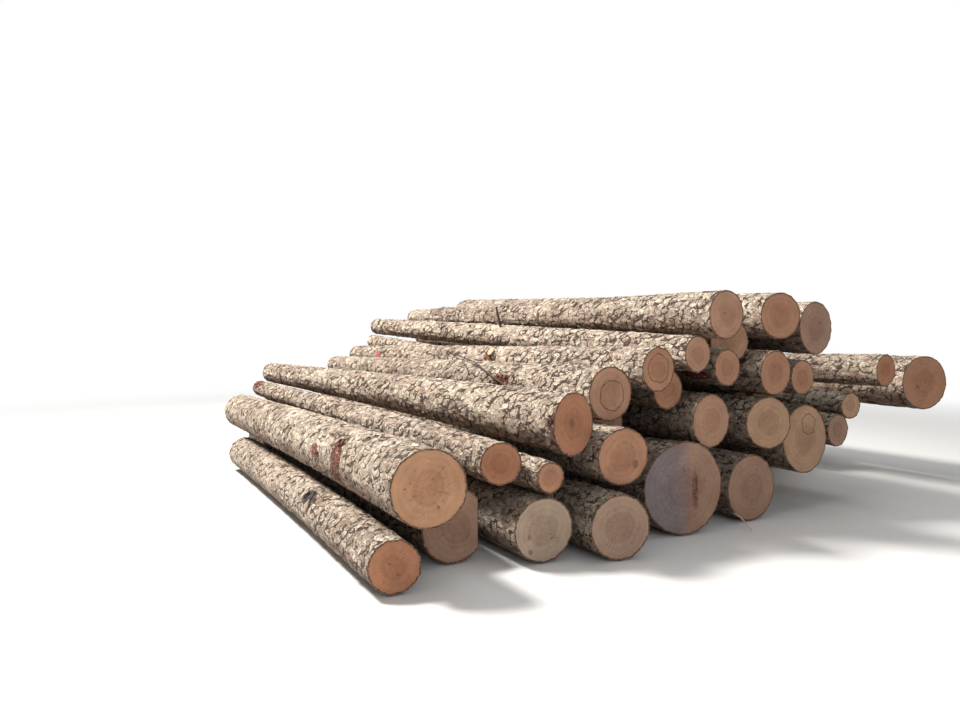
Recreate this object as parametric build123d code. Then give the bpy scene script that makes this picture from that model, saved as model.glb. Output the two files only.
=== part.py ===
from build123d import *
import math
import os
import numpy as np

os.makedirs("parts", exist_ok=True)

# Sizes in millimetres. X runs to the right along the sawn butt ends, Y runs back
# along the logs, Z is up. Places are first laid out from the butt of the third
# ground log and moved to the middle of the floor area at the end.
SAWLOG = 5030.0            # sixteen foot sawlog with its trim
SHORT_LOG = 3810.0         # twelve foot log with its trim
BILLET = 2100.0            # short length left from crosscutting
SEAT_GAP = 0.55            # clearance left where two logs touch
SLIDE = 20.0               # how far a log may roll aside while it settles
SAW_ALLOWANCE = 160.0      # extra length that the end cuts take off again
DROP_FROM = 2500.0         # height from which each log is lowered
FAST_DROP = 30.0           # step of the lowering while a log is clear of the others
NEARLY_DOWN = 40.0         # room below which the lowering goes on in finer steps

# Shares of the length at which a log is measured; between them it runs straight.
# BOW_SHAPE and SWELL_SHAPE are the share of the bow and of the butt's swell there.
SECTIONS = np.array((0.0, 0.06, 0.12, 0.18, 0.34, 0.5, 0.66, 0.82, 0.88, 0.94, 1.0))
SWELL_SHARE = 0.18
BOW_SHAPE = 4 * SECTIONS * (1 - SECTIONS)
SWELL_SHAPE = np.clip(1 - SECTIONS / SWELL_SHARE, 0, 1) ** 2
SAMPLES = np.linspace(0.0, 1.0, 41)


# One row per log, in the order in which the pile is laid: name, x and y of the near
# end, length, near and far diameter, turn (degrees, far end to the left), bow, swell
# of the butt, near end cut turned to the left, near end cut leaned back.
GROUND = [
    ("course_1_log_2", -500, 300, SAWLOG - 300, 500, 500, -1.2, 12, 6, 2, 0),
    ("course_1_log_1", -1080, 0, SAWLOG - 650, 341, 360, -3.3, 18, 0, 11, 1),
    ("course_1_log_3", 0, 0, SAWLOG, 455, 480, -1.3, 10, 0, 8, -1),
    ("course_1_log_4", 472, -220, SAWLOG, 455, 480, -1.6, 10, 0, 13, 1),
    ("course_1_log_5", 1290, -50, SAWLOG, 670, 560, 0.2, 10, 26, 0, 0),
    ("course_1_log_6", 2065, -30, SAWLOG, 545, 550, 0.0, 12, 0, 4, 2),
    ("bearer_log_1", 2560, 600, SHORT_LOG, 370, 380, 0.0, 8, 0, 1, 0),
    ("bearer_log_2", 3060, 950, SHORT_LOG, 370, 380, -0.4, -8, 0, 2, 0),
    ("bearer_log_3", 3620, 1150, SHORT_LOG, 400, 380, -0.3, 8, 0, -2, 1),
    ("bearer_log_4", 4230, 1400, SHORT_LOG, 420, 400, 0.0, 8, 0, 3, 0),
    ("bearer_log_5", 4830, 1650, SHORT_LOG, 410, 420, 0.3, 8, 0, 0, 2),
    ("bearer_log_6", 5360, 1800, SHORT_LOG, 330, 360, 0.3, 8, 0, 0, 2),
]
SECOND = [
    ("course_2_log_1", -848, -30, SAWLOG, 488, 410, -1.7, 16, 6, 10, 0),
    ("course_2_log_3", 50, 0, SAWLOG, 230, 350, 4.0, 8, 4, 4, 0),
    ("course_2_log_2", -202, 180, SAWLOG - 230, 300, 205, 3.3, 14, 4, 12, 1),
    ("course_2_log_4", 620, -90, SAWLOG, 420, 480, 1.6, 12, 0, 10, -2),
    ("bearer_log_7", 1735, 500, SAWLOG - 500, 260, 350, 0.4, 8, 0, 2, 0),
    ("course_2_log_5", 1590, 0, SAWLOG, 435, 440, -0.3, 10, 0, 0, 1),
    ("course_2_log_7", 2830, 0, SAWLOG, 590, 540, 0.2, 14, 10, 1, 2),
    ("course_2_log_6", 2330, 0, SAWLOG, 447, 460, 0.2, -10, 0, 14, 1),
    ("bearer_log_8", 3330, 950, SHORT_LOG, 270, 300, 0.0, 8, 0, 0, 0),
    ("course_2_log_8", 3310, 0, SAWLOG, 310, 330, 0.2, 8, 0, 2, 0),
    ("bearer_log_9", 3930, 1200, SHORT_LOG, 350, 350, 0.0, 8, 0, 0, 0),
    ("bearer_log_10", 4530, 1350, SHORT_LOG, 490, 460, 0.0, 8, 0, 0, 0),
    ("bearer_log_11", 5110, 1500, SHORT_LOG, 460, 480, 0.0, 8, 0, 0, 0),
]
THIRD = [
    ("course_3_log_1", 268, 0, SAWLOG, 432, 250, 7.4, 18, 10, -14, 2),
    ("course_3_log_2", 935, 450, SAWLOG - 450, 326, 390, 0.2, 10, 0, 0, 2),
    ("bearer_log_12", 1250, 1150, SHORT_LOG, 256, 240, 0.1, 8, 0, 0, 0),
    ("bearer_log_13", 1955, 900, SHORT_LOG, 225, 255, 0.0, 8, 0, 0, 0),
    ("bearer_log_14", 985, 1300, SHORT_LOG, 130, 350, 0.8, 6, 0, 0, 0),
    ("course_3_log_3", 670, 130, SAWLOG, 405, 255, 1.9, 14, 6, 2, 0),
    ("course_3_log_4", 1335, 170, SAWLOG - 170, 325, 400, 1.2, -8, 0, 2, 1),
    ("bearer_log_15", 1585, 1100, SHORT_LOG, 190, 200, 0.2, 6, 0, 0, 0),
    ("bearer_log_16", 1850, 1100, SHORT_LOG, 206, 300, 0.2, 6, 0, 0, 0),
    ("course_3_log_5", 1810, 0, SAWLOG, 310, 370, 0.3, 10, 0, 1, 0),
    ("bearer_log_17", 2600, 500, SAWLOG - 500, 190, 210, 0.0, 6, 0, 0, 0),
    ("course_3_log_6", 2370, 0, SAWLOG, 390, 390, 0.2, 8, 0, 3, 0),
    ("course_3_log_7", 2735, 0, SAWLOG, 320, 350, 0.2, 10, 0, 2, 1),
    ("bearer_log_18", 3700, 1000, SHORT_LOG, 300, 300, 0.0, 8, 0, 0, 0),
    ("course_3_log_8", 3490, 0, SAWLOG, 260, 280, 0.2, 8, 0, 8, 0),
    ("bearer_log_19", 3190, 700, SHORT_LOG, 330, 330, 0.2, 8, 0, 0, 0),
    ("bearer_log_20", 3060, 1000, SHORT_LOG, 270, 270, 0.0, 8, 0, 0, 0),
    ("bearer_log_21", 4170, 1150, SHORT_LOG, 420, 390, 0.0, 8, 0, 0, 0),
    ("course_3_log_9", 4070, 0, SAWLOG, 320, 300, 0.4, 10, 4, 2, 0),
    ("course_3_log_10", 4740, 0, SAWLOG, 535, 500, 0.4, 12, 10, 16, 1),
]
FOURTH = [
    ("bearer_log_22", 1098, 3000, BILLET, 106, 180, 1.6, 4, 0, 0, 0),
    ("course_4_log_1", 1015, 0, SAWLOG, 335, 245, 2.6, 14, 6, 0, 0),
    ("course_4_log_2", 1430, 0, SAWLOG, 290, 225, 4.6, 12, 4, 0, 1),
    ("course_4_log_3", 2060, 220, SAWLOG - 220, 375, 340, 0.3, 10, 4, 14, 0),
    ("course_4_log_4", 2420, 0, SAWLOG, 396, 380, 0.2, -10, 6, 14, 0),
    ("course_4_log_5", 2950, 0, SAWLOG, 460, 420, 0.2, 10, 8, 0, 1),
]
TOP = [
    ("top_log", 1590, -130, SAWLOG, 375, 245, 0.4, 16, 8, 2, 0),
]

# Near ends felled in two planes that meet in an upright ridge: offset of the ridge,
# turn to the left, lean back, one row per plane
FELLING_CUTS = {
    "course_1_log_5": ((35, 14, 1), (35, 5, 1)),
}

# The second ground log is ripped flat on its right side near the end
RIPPED_LOG = "course_1_log_2"
RIP_OFFSET = 172.0         # from the middle of the log to the flat
RIP_LENGTH = 1100.0        # length over which the flat runs out
CUT_REACH = SAWLOG / 2     # half the width of the blocks that the saw cuts take off


class Log:
    """A tapering, slightly bowed log held by its two end centres."""

    def __init__(self, row):
        (self.name, x, y, self.length, near, far, turn, self.bow,
         self.swell, self.cut_turn, self.cut_lean) = row
        run = math.radians(turn)
        self.r0, self.r1 = near / 2, far / 2
        self.start = np.array([x, y, 0.0])
        self.end = self.start + self.length * np.array([-math.sin(run), math.cos(run), 0.0])
        self.home = (self.start[0], self.end[0])
        self.butt_in_front = near >= far

    def radius(self, t):
        return radius_along(t, self.r0, self.r1, self.swell, self.butt_in_front)

    def centre(self, t):
        return centre_along(t, self.start, self.end, self.bow)


def radius_along(t, r0, r1, swell, butt_in_front):
    """Radius at the share t of the length: a straight taper and the swell of the butt."""
    from_butt = np.where(butt_in_front, t, 1 - np.asarray(t))
    return r0 + (r1 - r0) * t + swell * np.interp(from_butt, SECTIONS, SWELL_SHAPE)


def centre_along(t, start, end, bow):
    """Middle of the log at the share t of its length."""
    t = np.asarray(t)[..., None]
    sag = np.interp(t, SECTIONS, BOW_SHAPE) * np.array([0.8, 0.0, 0.6])
    return start + (end - start) * t + sag * np.asarray(bow)[..., None]


class Neighbours:
    """The laid logs within reach of a new one, kept as arrays."""

    def __init__(self, log, laid):
        reach = max(log.r0, log.r1) + abs(log.bow) + SLIDE + NEARLY_DOWN
        low, high = min(log.home) - reach, max(log.home) + reach
        close = []
        for other in laid:
            own = max(other.r0, other.r1) + other.swell + abs(other.bow)
            sides = (other.start[0], other.end[0])
            if max(sides) + own > low and min(sides) - own < high:
                close.append(other)
        self.count = len(close)
        run = log.end[1] - log.start[1]
        ends = [(p[1] - log.start[1]) / run for o in close for p in (o.start, o.end)]
        self.samples = np.unique(SAMPLES.tolist() + [t for t in ends if 0 < t < 1])
        self.half = int(np.searchsorted(self.samples, 0.5))
        if close:
            self.start = np.array([other.start for other in close])[:, None]
            self.end = np.array([other.end for other in close])[:, None]
            self.run = self.end - self.start
            self.square = (self.run ** 2).sum(2)
            columns = [(o.bow, o.r0, o.r1, o.swell, o.butt_in_front) for o in close]
            columns = np.array(columns, dtype=float).T[..., None]
            self.bow, self.r0, self.r1, self.swell, self.butt_in_front = columns

    def clearances(self, log):
        """Distance from each sample of the log to each neighbour, with its direction."""
        here, own = log.centre(self.samples), log.radius(self.samples)
        share = ((here[None] - self.start) * self.run).sum(2) / self.square
        share = np.clip(share, 0, 1)
        away = here[None] - centre_along(share, self.start, self.end, self.bow)
        far = np.sqrt((away ** 2).sum(2))
        wide = radius_along(share, self.r0, self.r1, self.swell, self.butt_in_front > 0)
        return far - wide - own[None], away / far[..., None]


def push(log, t, move):
    """Move the log sideways or up so that the point at t moves as asked."""
    weight = (1 - t) ** 2 + t * t
    log.start = log.start + move * (1 - t) / weight
    log.end = log.end + move * t / weight
    log.start[0] = min(max(log.start[0], log.home[0] - SLIDE), log.home[0] + SLIDE)
    log.end[0] = min(max(log.end[0], log.home[1] - SLIDE), log.home[1] + SLIDE)


def free_itself(log, beside):
    """Push the log out of the floor and of the logs that it meets; return the worst."""
    worst = 0.0
    spots, half = beside.samples, beside.half
    low = log.centre(spots)[:, 2] - log.radius(spots)
    for k in (int(low[:half].argmin()), half + int(low[half:].argmin())):
        if low[k] < 0:
            worst = max(worst, -low[k])
            push(log, spots[k], np.array([0.0, 0.0, -low[k]]))
    if beside.count:
        gap, way = beside.clearances(log)
        for first, last in ((0, half), (half, len(spots))):
            part = gap[:, first:last]
            for j in np.where(part.min(1) < SEAT_GAP)[0]:
                k = first + int(part[j].argmin())
                depth = SEAT_GAP - gap[j, k]
                worst = max(worst, depth)
                move = way[j, k] * depth * 0.8
                move[1] = 0.0
                push(log, spots[k], move)
    return worst


def least_room(log, beside):
    """How much the log lacks, floor and neighbours together, to lie free."""
    floor = (log.centre(beside.samples)[:, 2] - log.radius(beside.samples)).min()
    gap = beside.clearances(log)[0].min() if beside.count else 1e9
    return min(floor, gap - SEAT_GAP)


def settle(log, laid):
    """Lower a log on to the laid ones until it rests, as it would lie."""
    beside = Neighbours(log, laid)
    log.start[2] = log.end[2] = DROP_FROM
    while least_room(log, beside) > NEARLY_DOWN:
        log.start[2] -= FAST_DROP
        log.end[2] -= FAST_DROP
    drop = 25.0
    while drop > 0.03:
        log.start[2] -= drop
        log.end[2] -= drop
        for _ in range(3):
            if free_itself(log, beside) < 0.02:
                break
        drop *= 0.955
    for _ in range(60):
        short = -least_room(log, beside)
        if short < 0.01:
            break
        log.start[2] += short
        log.end[2] += short


def beyond(origin, facing):
    """A block that takes off all that lies beyond a saw cut."""
    cut = Plane(origin=tuple(origin), z_dir=tuple(facing))
    size = 2 * CUT_REACH
    return cut * Box(size, size, CUT_REACH, align=(Align.CENTER, Align.CENTER, Align.MIN))


def end_cuts(log):
    """The blocks for both ends, with the felling cuts and the ripped side."""
    turn, lean = math.radians(log.cut_turn), math.radians(log.cut_lean)
    blocks = [beyond(log.end, (0.3 * math.sin(turn), 1, -0.5 * math.sin(lean)))]
    if log.name in FELLING_CUTS:
        for aside, turn_one, lean_one in FELLING_CUTS[log.name]:
            turn, lean = math.radians(turn_one), math.radians(lean_one)
            ridge = log.start + np.array([aside, 0.0, 0.0])
            blocks.append(beyond(ridge, (-math.sin(turn), -math.cos(turn), math.sin(lean))))
    else:
        blocks.append(beyond(log.start, (-math.sin(turn), -math.cos(turn), math.sin(lean))))
    if log.name == RIPPED_LOG:
        side = math.atan((log.r0 - RIP_OFFSET) / RIP_LENGTH)
        edge = log.start + np.array([RIP_OFFSET, 0.0, 0.0])
        blocks.append(beyond(edge, (math.cos(side), -math.sin(side), 0.0)))
    return blocks


def section(log, t):
    """Circle of the log at the share t; past an end the log goes on straight."""
    first, last = (0.0, SECTIONS[1]) if t < 0.5 else (1.0, SECTIONS[-2])
    share = (t - first) / (last - first)
    middle, radius = log.centre(t), log.radius(t)
    if t < 0 or t > 1:
        middle = log.centre(first) + (log.centre(last) - log.centre(first)) * share
        radius = log.radius(first) + (log.radius(last) - log.radius(first)) * share
    along = (log.end - log.start) / log.length
    plane = Plane(origin=tuple(middle), x_dir=(1, 0, 0), z_dir=tuple(along))
    return plane * Circle(float(radius))


def log_solid(log):
    """Loft the log through its sections and saw both ends off."""
    spare = SAW_ALLOWANCE / log.length
    rings = [section(log, t) for t in (-spare, *SECTIONS[1:-1], 1 + spare)]
    solid = loft(Sketch() + rings, ruled=True) - end_cuts(log)
    return solid.solids()[0]


laid = []
for row in GROUND + SECOND + THIRD + FOURTH + TOP:
    fresh = Log(row)
    settle(fresh, laid)
    laid.append(fresh)

solids = {log.name: log_solid(log) for log in laid}
boxes = [solid.bounding_box() for solid in solids.values()]
middle_x = (min(box.min.X for box in boxes) + max(box.max.X for box in boxes)) / 2
middle_y = (min(box.min.Y for box in boxes) + max(box.max.Y for box in boxes)) / 2
shift = Location((-middle_x, -middle_y, -min(box.min.Z for box in boxes)))
for name, solid in solids.items():
    export_step(solid.moved(shift), "parts/" + name + ".step")
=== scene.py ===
import math
import random

import bmesh
import bpy
import numpy as np
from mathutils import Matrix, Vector


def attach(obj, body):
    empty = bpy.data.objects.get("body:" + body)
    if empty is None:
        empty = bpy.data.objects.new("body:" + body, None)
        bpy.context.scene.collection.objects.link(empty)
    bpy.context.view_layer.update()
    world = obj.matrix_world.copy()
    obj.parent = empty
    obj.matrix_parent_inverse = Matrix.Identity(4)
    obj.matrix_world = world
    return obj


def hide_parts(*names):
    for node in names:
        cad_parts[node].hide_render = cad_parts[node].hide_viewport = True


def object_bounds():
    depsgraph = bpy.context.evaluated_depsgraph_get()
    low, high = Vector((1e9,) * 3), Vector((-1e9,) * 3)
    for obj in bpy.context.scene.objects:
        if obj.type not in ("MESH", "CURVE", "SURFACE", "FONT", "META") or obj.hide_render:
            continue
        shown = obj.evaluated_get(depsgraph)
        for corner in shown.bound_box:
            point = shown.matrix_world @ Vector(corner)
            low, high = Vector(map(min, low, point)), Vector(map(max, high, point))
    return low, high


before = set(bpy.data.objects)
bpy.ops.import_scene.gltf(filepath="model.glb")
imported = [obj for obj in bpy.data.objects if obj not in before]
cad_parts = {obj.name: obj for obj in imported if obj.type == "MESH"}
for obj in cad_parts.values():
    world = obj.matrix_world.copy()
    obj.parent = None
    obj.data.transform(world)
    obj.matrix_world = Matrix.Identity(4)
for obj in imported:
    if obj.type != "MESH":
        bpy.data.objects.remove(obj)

cad_low, cad_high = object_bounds()

# Camera, from the photograph: place, turn, tilt and lens, in millimetres on a film this wide
CAMERA_PLACE = (-4.98, -6.42, 1.55)
CAMERA_TURN = math.radians(-32.0)
CAMERA_TILT = math.radians(90.0 - 2.47)
LENS, FILM_WIDTH = 27.0, 36.0

# Logs seen along their whole flank get a fine bark, the others a plainer one
FLANK_LOGS = (
    "course_1_log_1", "course_2_log_1", "course_2_log_2", "course_2_log_3",
    "course_3_log_1", "course_3_log_2", "course_3_log_3", "course_4_log_1",
    "course_4_log_2", "course_4_log_3", "top_log",
)
FINE, MEDIUM, COARSE = (88, 17), (64, 9), (48, 6)    # sides round, cuts per stretch
STRETCHES = 11             # straight stretches that follow the line of a log
CUT_MARGIN = 0.17          # depth that the slanting saw cuts reach into a log
OVERSHOOT = 0.16           # length past a log's ends that the saw then takes off
BARK_RISE = 0.004          # the bark is drawn out this much above the solid's surface
BARK_THICKNESS = 0.011
LUMP_DEPTH, PLATE_DEPTH, FLAKE_DEPTH = 0.006, 0.010, 0.006    # relief pressed into the bark
PLATE_SIZE, FLAKE_SIZE = (0.045, 0.11, 0.045), (0.035, 0.07, 0.035)    # across, along and up
SMOOTH_ANGLE = math.radians(50)
RIPPED_LOG = "course_1_log_2"      # ripped flat on its right side
FELLED_LOG = "course_1_log_5"      # felled in two planes

# How the sawn faces are told from the bark, by the way that their normals point
END_FACING = 0.7           # least share along the log, on a saw cut of the solid
RIP_FACING = 0.97          # least share to the right, on the ripped flat
SAME_CUT = 0.9998          # least product of two normals on one saw cut of the solid
ON_CUT = 0.999             # least product of a face's normal and the cut's
CUT_GAP = 0.002            # largest distance of such a face's middle from the cut
SLATE_LEFT, SLATE_NEAR = -0.15, -0.8    # the felled log's left plane points past these

# Colours of the freshly sawn faces, and the logs whose near face has each of them
TAN, RUST, PINK = (0.50, 0.29, 0.17), (0.43, 0.21, 0.12), (0.45, 0.27, 0.18)
GREY, BROWN = (0.42, 0.33, 0.25), (0.36, 0.23, 0.165)
CLAY, SAND = (0.44, 0.24, 0.148), (0.46, 0.30, 0.195)
UMBER = (0.37, 0.262, 0.195)
PALE = (0.58, 0.42, 0.27)
NO_MARK = (0.0, 0.0, 0.0)
NEAR_TINTS = {
    "course_1_log_1": RUST, "course_1_log_2": BROWN, "course_1_log_3": GREY,
    "course_1_log_4": UMBER, "course_1_log_5": BROWN, "course_1_log_6": BROWN,
    "course_2_log_1": TAN, "course_2_log_2": RUST, "course_2_log_3": CLAY,
    "course_2_log_4": CLAY, "course_2_log_5": PINK, "course_2_log_6": SAND,
    "course_2_log_7": SAND, "course_2_log_8": BROWN, "course_3_log_1": RUST,
    "course_3_log_2": PINK, "course_3_log_3": PINK, "course_3_log_4": CLAY,
    "course_3_log_5": CLAY, "course_3_log_6": CLAY, "course_3_log_7": CLAY,
    "course_3_log_8": SAND, "course_3_log_9": RUST, "course_3_log_10": CLAY,
    "course_4_log_1": CLAY, "course_4_log_4": CLAY, "course_4_log_5": BROWN,
    "top_log": PINK,
}

# A place on a log: metres from its near end, degrees round from the top to the left.
# Bark torn off: log, place, half length along the log and half width round it
TORN_BARK = (
    ("course_2_log_1", 1.10, 86, 0.095, 0.17),
    ("course_2_log_1", 1.57, 84, 0.080, 0.055),
    ("course_2_log_2", 4.75, 45, 0.110, 0.07),
    ("course_3_log_1", 0.00, 74, 0.030, 0.13),
    ("course_3_log_3", 1.12, 80, 0.110, 0.05),
    ("course_3_log_5", 0.22, 120, 0.130, 0.05),
    ("course_4_log_1", 1.94, 62, 0.080, 0.075),
)
# Limb scars: log, place, radius, height of the collar and depth of the hole in it
LIMB_SCARS = (
    ("course_1_log_1", 1.47, 44, 0.040, 0.012, 0.024),
    ("course_2_log_1", 1.09, 50, 0.024, 0.014, 0.012),
    ("course_2_log_1", 0.79, 17, 0.018, 0.010, 0.008),
    ("top_log", 2.76, 56, 0.026, 0.016, 0.012),
    ("top_log", 1.64, 47, 0.022, 0.014, 0.012),
    ("course_4_log_2", 3.35, 48, 0.026, 0.016, 0.010),
    ("course_3_log_1", 2.60, 58, 0.024, 0.012, 0.010),
)
LIMB_HOLE_SHADOW = ("course_1_log_1", 1.43, 48, 0.12, 0.085)       # as torn bark; a patch painted near black: painted shadow of a broken limb stub, and painted shade in its hole
SAWN_LIMB = ("course_4_log_1", 1.88, 58, 0.040, 0.020)      # log, place, radius, height
PAINT_DAB = ("course_4_log_1", 4.22, 86, 0.060, 0.042)      # as torn bark
# Scars and the sawn limb are drawn out of a disc: its sides, its height over the bark and
# first rise, its width in widths of the limb, and the height of the sawn limb's collar
LIMB_SIDES = 18
LIMB_ROOT, LIMB_FOOT = -0.02, 0.016
COLLAR_SPREAD, SAWN_SPREAD = 1.6, 1.5
SAWN_COLLAR = 0.012
LIMB_FACE_REACH, LIMB_FACING = 0.3, 0.95     # its sawn face: reach in radii, least facing out
# Dead twigs and slivers of wood: log that carries it, material, radii at the thick
# and thin end, and the points that it passes, each a place on a named log and a height
# above its bark
TWIGS = (
    ("course_3_log_3", "dead_twig", 0.0085, 0.0045, (
        ("course_3_log_3", 0.95, 99, 0.006), ("course_3_log_3", 1.20, 75, 0.018),
        ("course_3_log_3", 1.59, 38, 0.026), ("course_3_log_3", 2.03, 5, 0.036),
        ("course_4_log_1", 2.45, 76, 0.018), ("course_4_log_1", 2.68, 54, 0.008))),
    ("course_3_log_3", "dead_twig", 0.0050, 0.0030, (
        ("course_3_log_3", 1.62, 72, 0.002), ("course_3_log_3", 1.70, 50, 0.014),
        ("course_3_log_3", 1.86, 30, 0.030))),
    ("top_log", "dead_twig", 0.0130, 0.0090, (
        ("course_4_log_2", 2.33, 34, -0.004), ("course_4_log_2", 2.33, 27, 0.055),
        ("course_4_log_2", 2.35, 22, 0.120), ("course_4_log_2", 2.35, 19, 0.190))),
    ("course_1_log_6", "split_wood", 0.0080, 0.0040, (
        ("course_1_log_6", 0.03, 134, -0.004), ("course_1_log_6", -0.05, 132, 0.022),
        ("course_1_log_6", -0.12, 132, 0.058), ("course_1_log_6", -0.19, 134, 0.098))),
    ("course_1_log_1", "split_wood", 0.0200, 0.0050, (
        ("course_1_log_1", 1.40, 66, -0.006), ("course_1_log_1", 1.36, 58, 0.014),
        ("course_1_log_1", 1.35, 50, 0.018))),
)
# Scattered flakes of bark: log, place, half length, half width, number, and the share
# of them that lie with the red-brown inner side up
FLAKES_OF_BARK = (
    ("course_3_log_3", 1.12, 74, 0.22, 0.08, 16, 0.9),
    ("course_3_log_5", 0.20, 86, 0.20, 0.06, 9, 0.3),
    ("course_3_log_1", 0.03, 72, 0.03, 0.11, 9, 0.8),
)
# Rings and knots drawn on near faces: log, right of the heart, above it, radius
FACE_RINGS = {
    "course_3_log_3": (0.016, -0.014, 0.108), "course_4_log_1": (0.002, 0.008, 0.102),
    "course_1_log_3": (-0.015, -0.005, 0.236), "course_2_log_7": (0.050, 0.125, 0.088),
}
FACE_KNOTS = {
    "course_1_log_1": ((-0.03, 0.02, 0.008), (0.05, 0.05, 0.008), (0.02, -0.04, 0.010)),
    "course_1_log_3": ((-0.108, -0.033, 0.014), (0.057, -0.062, 0.013), (-0.100, -0.137, 0.018)),
    "course_2_log_1": ((-0.116, 0.040, 0.009), (-0.146, 0.008, 0.009), (0.06, -0.11, 0.010)),
    "course_2_log_4": ((0.100, -0.055, 0.030),),
    "course_3_log_1": ((-0.020, 0.004, 0.030),),
    "course_3_log_10": ((-0.088, -0.040, 0.024), (0.09, 0.06, 0.010)),
    "course_4_log_5": ((0.05, 0.04, 0.016),),
    "top_log": ((-0.02, 0.01, 0.010),),
}
KNOT_MARKS = ("knot_mark_1", "knot_mark_2", "knot_mark_3")
RIFT = (0.085, -0.02, 0.034)       # dark rift down the felled log's right plane
TORN_REACH, SCAR_REACH = 1.6, 1.5    # torn bark and scars fade out at so many half sizes
PATTERN_SHIFT, PATTERN_SPREAD = 7.0, 50    # how far the logs' bark patterns lie apart
# Flakes of bark: height over the bark, shift along the log, tilt, turn and three sizes
FLAKE_LIFT, FLAKE_SHIFT, FLAKE_TILT, FLAKE_TURN = 0.001, 0.02, 0.35, 3.1
FLAKE_LENGTH, FLAKE_WIDTH, FLAKE_THICKNESS = (0.010, 0.026), (0.006, 0.013), (0.003, 0.007)

# Bark: two sizes of plates, and colours, from the tone in the gaps to the sunlit layers
LIFT_AND_SHADOW_WAY = (0.05, -0.80, -0.60)    # side of a bark plate that stands off, near and low; its gap there is widened as painted shadow
LARGE_PLATES = {"Plate Size": 0.058, "Crack Width": 0.16, "Waviness": 0.5, "Tilt": 0.8,
                "Lift Way": LIFT_AND_SHADOW_WAY}
SMALL_PLATES = {"Plate Size": 0.023, "Crack Width": 0.14, "Waviness": 0.6, "Tilt": 0.7,
                "Lift Way": LIFT_AND_SHADOW_WAY}
BARK_COLOURS = ((0.22, (0.205, 0.120, 0.085)), (0.40, (0.345, 0.245, 0.182)),
                (0.58, (0.50, 0.405, 0.315)), (0.84, (0.68, 0.595, 0.475)))
INNER_BARK = ((0.42, (0.022, 0.007, 0.006)), (0.50, (0.095, 0.022, 0.011)),
              (0.58, (0.24, 0.060, 0.024)), (0.68, (0.60, 0.29, 0.14)))
CUT_BARK_COLOURS = ((0.1, (0.075, 0.035, 0.022)), (0.5, (0.16, 0.080, 0.048)),
                    (0.9, (0.27, 0.155, 0.095)))
# The gap colour is partly the dark of the bark's furrows and partly painted shade
BLEACHED_BARK, GAP_AND_SHADE = (0.73, 0.65, 0.535), (0.050, 0.031, 0.024)
# The underside colour is painted shade, darker and browner towards the bottom of each log
LILAC_CAST, UNDERSIDE_SHADE = (0.92, 0.85, 0.87), (0.62, 0.50, 0.44)
# The scar colour is painted shade for the limb holes
SCAR_SHADE, PINK_PAINT = (0.030, 0.020, 0.018), (0.50, 0.075, 0.13)
# Sawn wood: what stains it, and the marks drawn on it
SLATE, HEART_STAIN = (0.235, 0.202, 0.214), (0.62, 0.50, 0.45)
DARK_BLOTCH, PALE_BLOTCH = (0.80, 0.66, 0.58), (1.35, 1.25, 1.15)
LATE_WOOD, SAWN_FIBRE = (0.60, 0.42, 0.32), (0.55, 0.45, 0.38)
DRY_CRACK, KNOT_BROWN = (0.075, 0.040, 0.025), (0.13, 0.062, 0.040)
RIFT_DARK = (0.060, 0.028, 0.022)
SAW_WAY = (0.5, 0.0, 0.85)         # across the marks that the saw left on the faces
MIDDLE_GREY = (0.5, 0.5, 0.5)      # the mean of a noise's colour

# Studio: floor, share of the world's light, and lamps by name, place, size, power, colour
FLOOR_SIZE, FLOOR_GREY, FLOOR_FADE = 80.0, (0.74, 0.74, 0.73), (5.5, 13.0)
WORLD_LIGHT, LIT_PLACE = 0.24, (0.0, 0.0, 0.6)
STUDIO_LAMPS = (
    ("key_light", (-6.0, 3.0, 9.2), 2.2, 2500.0, (1.0, 0.965, 0.91)),
    ("top_light", (0.0, 0.0, 8.0), 7.0, 300.0, (1.0, 0.99, 0.98)),
    ("front_light", (-4.0, -10.0, 4.0), 6.0, 210.0, (0.97, 0.98, 1.0)),
)


class LogLine:
    """Centre line and radius of one log, read off its solid."""

    def __init__(self, name):
        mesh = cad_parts[name].data
        points = np.empty(len(mesh.vertices) * 3)
        mesh.vertices.foreach_get("co", points)
        points = points.reshape(-1, 3)
        edges = np.empty(len(mesh.edges) * 2, dtype=np.int64)
        mesh.edges.foreach_get("vertices", edges)
        self.from_, self.to = points[edges[0::2]], points[edges[1::2]]
        self.near, self.far = points[:, 1].min(), points[:, 1].max()
        inner = np.linspace(self.near + CUT_MARGIN, self.far - CUT_MARGIN, STRETCHES - 1)
        slices = [self.slice(y) for y in inner]
        past = (CUT_MARGIN + OVERSHOOT) / (inner[1] - inner[0])
        first = slices[0] + (slices[0] - slices[1]) * past
        last = slices[-1] + (slices[-1] - slices[-2]) * past
        self.rings = np.array([first, *slices, last])
        self.turn = math.atan2(last[0] - first[0], last[1] - first[1])

    def slice(self, y):
        """Middle and radius of the section at y; the left side is never ripped."""
        crossing = (self.from_[:, 1] - y) * (self.to[:, 1] - y) < 0
        a, b = self.from_[crossing], self.to[crossing]
        cut = a + (b - a) * ((y - a[:, 1]) / (b[:, 1] - a[:, 1]))[:, None]
        low, high = cut[:, 2].min(), cut[:, 2].max()
        radius = (high - low) / 2
        return np.array([cut[:, 0].min() + radius, y, (low + high) / 2, radius])

    def at(self, y):
        """Middle x, middle z and radius at any y, as arrays."""
        return [np.interp(y, self.rings[:, 1], self.rings[:, k]) for k in (0, 2, 3)]


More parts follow.
